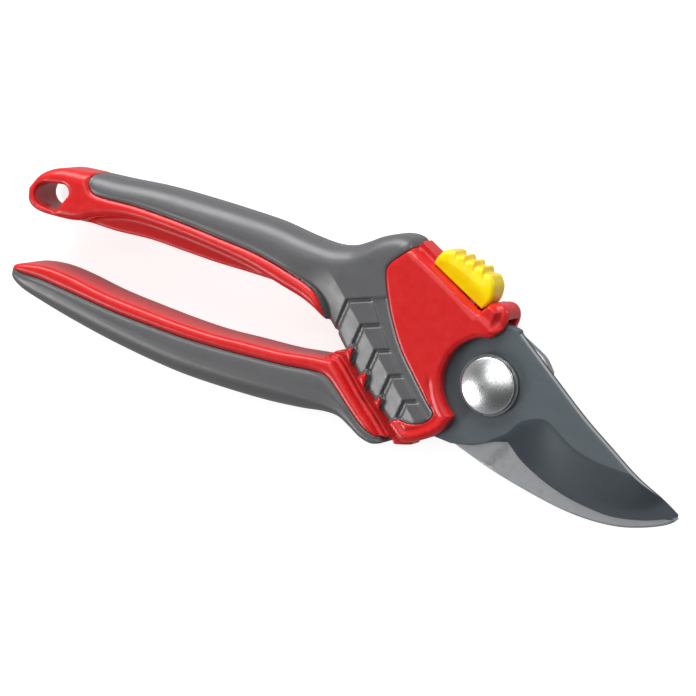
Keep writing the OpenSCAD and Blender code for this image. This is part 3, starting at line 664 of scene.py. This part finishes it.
class Finish:
    """A Principled material and the few nodes that every finish needs."""

    def __init__(self, name, colour, roughness, metallic=0.0, coat=0.0, specular=0.5):
        self.material = bpy.data.materials.new(name)
        self.material.use_nodes = True
        self.tree = self.material.node_tree
        self.shader = self.tree.nodes["Principled BSDF"]
        self.shader.inputs["Base Color"].default_value = (*colour, 1)
        self.shader.inputs["Roughness"].default_value = roughness
        self.shader.inputs["Metallic"].default_value = metallic
        self.shader.inputs["Coat Weight"].default_value = coat
        self.shader.inputs["Coat Roughness"].default_value = 0.12
        self.shader.inputs["Specular IOR Level"].default_value = specular
        self.height = None
        self.place = self.node("ShaderNodeTexCoord").outputs["Object"]

    def node(self, kind, **values):
        """Adds a node; each value goes to its input of that name, or else to its setting."""
        made = self.tree.nodes.new(kind)
        for key, value in values.items():
            if key in made.inputs:
                made.inputs[key].default_value = value
            else:
                setattr(made, key, value)
        return made

    def link(self, source, target):
        self.tree.links.new(source, target)

    def noise(self, scale, detail=4.0, stretch=None, roughness=0.6):
        """Noise with so many cells to a metre, drawn out where stretch says so."""
        made = self.node("ShaderNodeTexNoise", Scale=scale, Detail=detail, Roughness=roughness)
        place = self.place
        if stretch:
            mapping = self.node("ShaderNodeMapping")
            mapping.inputs["Scale"].default_value = stretch
            self.link(place, mapping.inputs["Vector"])
            place = mapping.outputs["Vector"]
        self.link(place, made.inputs["Vector"])
        return made.outputs["Fac"]

    def spread(self, value, low, high, to_low, to_high):
        """Maps the range from low to high onto another."""
        made = self.node("ShaderNodeMapRange")
        for key, number in (("From Min", low), ("From Max", high), ("To Min", to_low), ("To Max", to_high)):
            made.inputs[key].default_value = number
        self.link(value, made.inputs["Value"])
        return made.outputs["Result"]

    def blend(self, amount, first, second):
        """Mixes two colours, each a tuple or a socket."""
        made = self.node("ShaderNodeMix", data_type="RGBA")
        self.link(amount, made.inputs[0])
        for socket, colour in ((made.inputs[6], first), (made.inputs[7], second)):
            if isinstance(colour, tuple):
                socket.default_value = (*colour, 1)
            else:
                self.link(colour, socket)
        return made.outputs[2]

    def colour(self, socket):
        self.link(socket, self.shader.inputs["Base Color"])

    def rough(self, value, low, high):
        """Spreads the roughness over a noise."""
        self.link(self.spread(value, 0.3, 0.7, low, high), self.shader.inputs["Roughness"])

    def bump(self, value, depth, strength=1.0):
        """Adds a layer of bumps; depth is in metres."""
        made = self.node("ShaderNodeBump")
        made.inputs["Strength"].default_value = strength
        made.inputs["Distance"].default_value = depth
        self.link(value, made.inputs["Height"])
        if self.height:
            self.link(self.height, made.inputs["Normal"])
        self.height = made.outputs["Normal"]
        self.link(self.height, self.shader.inputs["Normal"])


def moulded_plastic(name, colour, worn, roughness, coat):
    """Semi-gloss plastic with a cloudy tone, rubbed patches and a fine grain."""
    f = Finish(name, colour, roughness, coat=coat, specular=0.38)
    cloud = f.noise(70, 3)
    dark = tuple(c * 0.95 for c in colour)
    rubbed = f.spread(f.noise(350, 2), 0.35, 0.75, 0, 0.5)
    f.colour(f.blend(rubbed, f.blend(cloud, dark, colour), worn))
    f.rough(f.noise(420, 2), roughness - 0.01, roughness + 0.03)
    f.bump(f.noise(1500, 2), 0.00002, 0.25)
    f.bump(f.noise(150, 2), 0.00004, 0.12)
    return f.material


def soft_grip(name, colour):
    """Soft rubber with a fine mottled grain."""
    f = Finish(name, colour, 0.4, specular=0.6)
    f.shader.inputs["Sheen Weight"].default_value = 0.05
    f.shader.inputs["Sheen Roughness"].default_value = 0.45
    light = tuple(c * 1.05 for c in colour)
    dark = tuple(c * 0.95 for c in colour)
    f.colour(f.blend(f.spread(f.noise(1600, 4), 0.35, 0.65, 0, 1), dark, light))
    f.rough(f.noise(300, 5), 0.32, 0.42)
    f.bump(f.noise(3600, 4, roughness=0.7), 0.00004, 0.4)
    return f.material


def coated_steel(name, colour):
    """Dark non-stick coating with a fine grain and faint scratches along the blade."""
    f = Finish(name, colour, 0.45, metallic=0.1, specular=0.4)
    scratch = f.noise(900, 6, stretch=(0.1, 1.0, 1.0), roughness=0.8)
    f.colour(f.blend(f.spread(scratch, 0.45, 0.8, 0, 1), colour, tuple(c * 1.15 for c in colour)))
    f.rough(f.noise(500, 6), 0.4, 0.52)
    f.bump(f.noise(2800, 4), 0.00002, 0.35)
    f.bump(scratch, 0.00002, 0.1)
    return f.material


def ground_steel(name, colour, roughness, stretch=(0.06, 1.0, 1.0)):
    """Bare steel with fine grinding lines."""
    f = Finish(name, colour, roughness, metallic=1.0)
    lines = f.noise(1500, 5, stretch=stretch, roughness=0.8)
    f.colour(f.blend(f.spread(lines, 0.35, 0.65, 0, 1), tuple(c * 0.92 for c in colour), colour))
    f.rough(f.noise(900, 3), roughness - 0.03, roughness + 0.05)
    f.bump(lines, 0.00002, 0.25)
    return f.material


def worn_spine(name, bare, coated):
    """The wall of the blade's spine: bare beside the front, still coated below."""
    f = Finish(name, bare, 0.38, metallic=0.9)
    height = f.node("ShaderNodeSeparateXYZ")
    f.link(f.place, height.inputs[0])
    edge = BLADE_HIGH - SPINE_BARE
    bared = f.spread(height.outputs["Z"], (edge - 0.3) * MM, edge * MM, 0, 1)
    f.colour(f.blend(bared, coated, bare))
    f.rough(f.noise(900, 3), 0.32, 0.45)
    f.bump(f.noise(1800, 4, stretch=(0.08, 1.0, 1.0)), 0.00002, 0.3)
    return f.material


def turned_chrome(name, colour):
    """Chrome with fine rings round the pivot axis and scattered specks."""
    f = Finish(name, colour, 0.24, metallic=1.0)
    f.shader.inputs["Anisotropic"].default_value = 0.2
    f.link(f.node("ShaderNodeTangent", direction_type="RADIAL", axis="Z").outputs["Tangent"],
           f.shader.inputs["Tangent"])
    across = f.node("ShaderNodeVectorMath", operation="MULTIPLY")
    f.link(f.place, across.inputs[0])
    across.inputs[1].default_value = (1, 1, 0)
    radius = f.node("ShaderNodeVectorMath", operation="LENGTH")
    f.link(across.outputs["Vector"], radius.inputs[0])
    rings = f.node("ShaderNodeTexNoise", noise_dimensions="1D", Scale=3600.0, Detail=3.0)
    f.link(radius.outputs["Value"], rings.inputs["W"])
    specks = f.noise(2400, 6, roughness=0.8)
    f.colour(f.blend(f.spread(specks, 0.5, 0.62, 0, 1), colour, tuple(c * 0.5 for c in colour)))
    f.rough(specks, 0.2, 0.38)
    f.bump(rings.outputs["Fac"], 0.00002, 0.3)
    f.bump(specks, 0.00004, 0.3)
    return f.material


def glossy_plastic(name, colour, deep):
    """Glossy plastic whose moulded surface waves a little."""
    f = Finish(name, colour, 0.2, coat=0.2, specular=0.35)
    f.colour(f.blend(f.spread(f.noise(160, 3), 0.35, 0.65, 0, 1), deep, colour))
    f.rough(f.noise(500, 4), 0.18, 0.28)
    f.bump(f.noise(220, 2), 0.00005, 0.3)
    f.bump(f.noise(2500, 3), 0.00001, 0.3)
    return f.material


# --- Pieces -----------------------------------------------------------------------------------

red_plastic = moulded_plastic("red_plastic_finish", (0.6, 0.009, 0.01), (0.66, 0.03, 0.03), 0.3, 0.08)
grey_grip = soft_grip("grey_grip_finish", (0.09, 0.091, 0.094))
coating = coated_steel("blade_coating_finish", (0.086, 0.105, 0.117))
# A darker copy of the blade coating, painted shade for the ground bevel
bevel_shade_coating = coated_steel("blade_bevel_shade_finish", (0.046, 0.057, 0.068))
spine_steel = worn_spine("spine_finish", (0.7, 0.71, 0.72), (0.08, 0.09, 0.1))
hook_steel = ground_steel("hook_finish", (0.47, 0.485, 0.5), 0.42)
chrome = turned_chrome("bolt_finish", (0.86, 0.87, 0.88))
fastener = ground_steel("fastener_finish", (0.6, 0.6, 0.61), 0.33, (1.0, 1.0, 0.1))
wire = ground_steel("spring_finish", (0.35, 0.35, 0.36), 0.3, (1.0, 1.0, 1.0))
brass = ground_steel("bushing_finish", (0.7, 0.52, 0.25), 0.32, (1.0, 1.0, 0.2))
yellow = glossy_plastic("slider_finish", (0.95, 0.76, 0.0), (0.94, 0.64, 0.0))

core, grip = upper_handle()
place(core, "upper", "red_plastic", red_plastic, "upper_handle_core")
place(grip, "upper", "grey_grip", grey_grip, "upper_grip")
core, grip = lower_handle()
place(core, "lower", "red_plastic", red_plastic, "lower_handle_core")
place(grip, "lower", "grey_grip", grey_grip, "lower_grip")
place(thumb_slider(), "lock", "yellow_plastic", yellow, "lock_slider")
blade = place(cutting_blade(), "lower", "coated_blade", coating, "cutting_blade")
place(counter_blade(), "upper", "hook_steel", hook_steel, "counter_blade")
place(pivot_bolt(), "upper", "bolt_chrome", chrome, "pivot_bolt")

# The blade's spine is bare, and its ground bevel takes a darker copy of the coating: painted shade for the
# bevel turned away from the light
blade.data.materials.append(spine_steel)
blade.data.materials.append(bevel_shade_coating)
centres = np.array([polygon.center for polygon in blade.data.polygons]) / MM
normals = np.array([polygon.normal for polygon in blade.data.polygons])
on_spine = (line_distance(centres[:, 0], centres[:, 1], BLADE_SPINE) < 0.1) & (np.abs(normals[:, 2]) < 0.3)
ground = (plan(centres[:, 0], centres[:, 1], BLADE_FLAT)[0] > 0) & (normals[:, 2] > 0.5)
for polygon, bare, bevel in zip(blade.data.polygons, on_spine, ground):
    polygon.material_index = 1 if bare else 2 if bevel else 0

for node, material in (("pivot_collar", wire), ("lock_washer", fastener), ("pivot_nut", fastener),
                       ("wave_washer", wire), ("spring_post", fastener), ("return_spring", wire),
                       ("counter_blade_rivets", fastener), ("cutting_blade_rivets", fastener),
                       ("lock_tongue", fastener), ("detent_spring", wire), ("blade_bushing", brass)):
    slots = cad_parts[node].data.materials
    slots.clear()
    slots.append(material)


# --- Floor, light and camera -----------------------------------------------------------------

CAMERA_AZIMUTH = math.radians(33.68)
CAMERA_ELEVATION = math.radians(66.22)
CAMERA_ROLL = math.radians(101.93)
CAMERA_DISTANCE = 1.0205
CAMERA_LENS = 186.2                         # On a sensor 36 mm wide
CAMERA_AIM = Vector((-0.0448, -0.0080, 0.009))


def camera_axes():
    """Right, up and back of the camera, from its azimuth, elevation and roll."""
    back = Vector((math.cos(CAMERA_ELEVATION) * math.cos(CAMERA_AZIMUTH),
                   math.cos(CAMERA_ELEVATION) * math.sin(CAMERA_AZIMUTH), math.sin(CAMERA_ELEVATION)))
    level = Vector((0, 0, 1)).cross(back).normalized()
    upright = back.cross(level)
    up = math.cos(CAMERA_ROLL) * upright + math.sin(CAMERA_ROLL) * level
    return up.cross(back), up, back


RIGHT, UP, TOWARDS = camera_axes()


def facing(right, up, back, origin):
    """The matrix of something at origin with the given right, up and back directions."""
    turned = Matrix((right, up, back)).transposed().to_4x4()
    return Matrix.Translation(origin) @ turned


def add_camera():
    """The camera of the photo, on a long lens."""
    data = bpy.data.cameras.new("camera")
    data.lens = CAMERA_LENS
    data.sensor_width = 36
    data.clip_end = 20
    camera = bpy.data.objects.new("camera", data)
    camera.matrix_world = facing(RIGHT, UP, TOWARDS, CAMERA_AIM + CAMERA_DISTANCE * TOWARDS)
    bpy.context.collection.objects.link(camera)
    bpy.context.scene.camera = camera


def add_softbox(name, right, up, towards, size, watts):
    """A soft light placed from the aim in the camera's directions, in metres, and facing the aim."""
    data = bpy.data.lights.new(name, "AREA")
    data.shape = "RECTANGLE"
    data.size, data.size_y = size
    data.energy = watts
    light = bpy.data.objects.new(name, data)
    offset = right * RIGHT + up * UP + towards * TOWARDS
    back = offset.normalized()
    side = UP.cross(back).normalized()
    light.matrix_world = facing(side, back.cross(side), back, CAMERA_AIM + offset)
    bpy.context.collection.objects.link(light)


def add_floor():
    """A pale sweep under the shears, wide enough for every view."""
    half = 6.0
    low = cad_box[0][2] - 0.00005
    mesh = bpy.data.meshes.new("floor")
    mesh.from_pydata([(-half, -half, low), (half, -half, low), (half, half, low), (-half, half, low)], [],
                     [(0, 1, 2, 3)])
    floor = bpy.data.objects.new("floor", mesh)
    bpy.context.collection.objects.link(floor)
    f = Finish("floor_finish", (0.45, 0.45, 0.45), 0.8, specular=0.1)
    f.shader.inputs["Emission Color"].default_value = (1, 1, 1, 1)
    f.shader.inputs["Emission Strength"].default_value = 0.76
    f.colour(f.blend(f.noise(3, 4), (0.44, 0.44, 0.44), (0.46, 0.46, 0.46)))
    mesh.materials.append(f.material)
    floor.visible_diffuse = False
    floor.visible_glossy = False


def add_studio():
    """Pale walls all round under a dim ceiling, so that faces turned up don't glare."""
    world = bpy.data.worlds.new("studio")
    world.use_nodes = True
    tree = world.node_tree
    place = tree.nodes.new("ShaderNodeTexCoord")
    split = tree.nodes.new("ShaderNodeSeparateXYZ")
    ramp = tree.nodes.new("ShaderNodeValToRGB")
    ramp.color_ramp.elements[0].position, ramp.color_ramp.elements[0].color = 0.3, (0.4, 0.4, 0.41, 1)
    ramp.color_ramp.elements[1].position, ramp.color_ramp.elements[1].color = 0.75, (0.07, 0.07, 0.07, 1)
    tree.links.new(place.outputs["Generated"], split.inputs[0])
    tree.links.new(split.outputs["Z"], ramp.inputs[0])
    tree.links.new(ramp.outputs["Color"], tree.nodes["Background"].inputs["Color"])
    bpy.context.scene.world = world


add_camera()
add_floor()
add_softbox("key", -0.2, 0.9, 0.38, (1.2, 0.5), 14)
add_softbox("side", -0.95, -0.36, 0.2, (0.4, 0.4), 5)
add_softbox("front", -0.3, 0.32, 1.1, (1.1, 0.9), 5.5)
add_softbox("right", 0.95, 0.45, 0.3, (0.4, 0.4), 3)
add_studio()
bpy.context.scene.view_settings.view_transform = "Standard"
